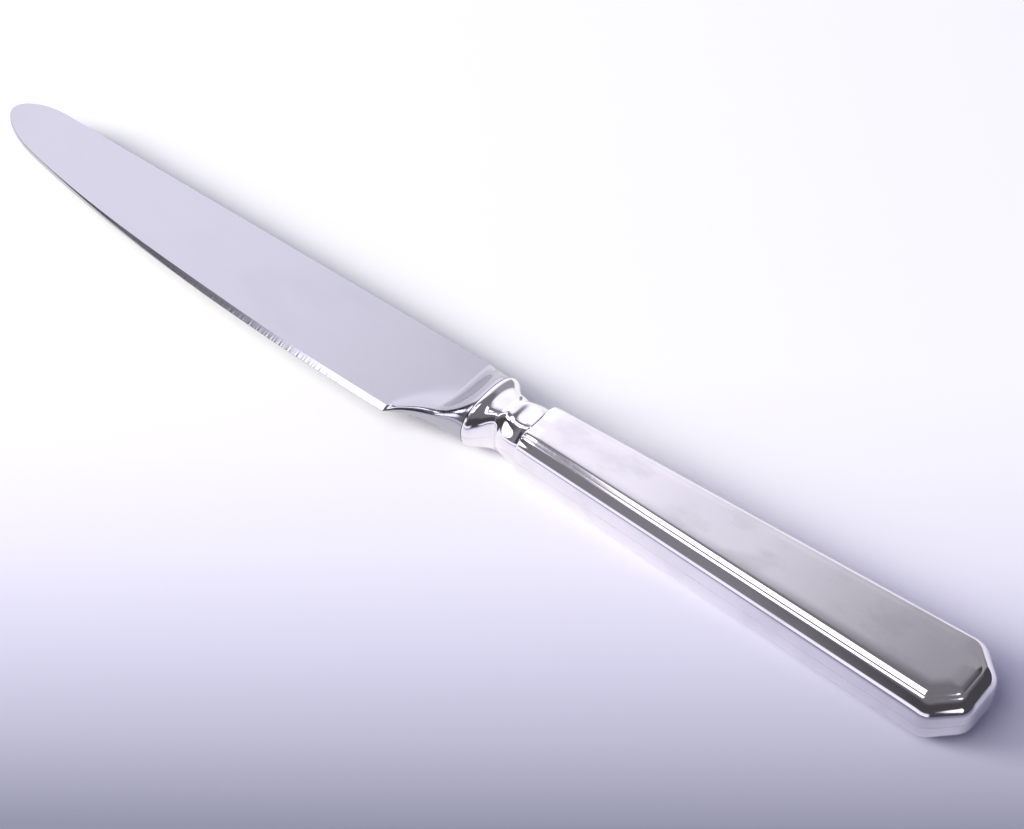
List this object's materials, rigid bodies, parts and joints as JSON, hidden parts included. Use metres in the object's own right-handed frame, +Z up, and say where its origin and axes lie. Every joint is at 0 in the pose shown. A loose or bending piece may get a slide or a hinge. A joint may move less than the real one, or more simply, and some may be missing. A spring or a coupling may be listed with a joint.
{
  "type": "dessert knife",
  "caption": "Dessert knife with a round-tipped steel blade, a flared bolster and a hollow silver-plated handle with stepped borders and clipped butt corners.",
  "frame": {"origin": "under the middle of the knife's length and width, in the plane that the lower handle panel rests on", "axes": "+X along the knife from the blade's tip to the butt, +Y from the cutting edge to the blade's back, +Z up from the lower handle panel to the upper one"},
  "size_m": [0.21, 0.0198, 0.0096],
  "materials": {
    "blade_steel": "stainless steel polished to a soft mirror, faintly hazy",
    "silver_plate": "bright silver plate with fine wear scratches",
    "solder": "hard solder, polished flush with the plate",
    "cement": "dull hard cutler's cement"
  },
  "bodies": {
    "root": {"blade": "blade_steel", "handle_shell_top": "silver_plate", "handle_shell_bottom": "silver_plate", "seam_solder": "solder", "handle_filling": "cement"}
  },
  "joints": []
}
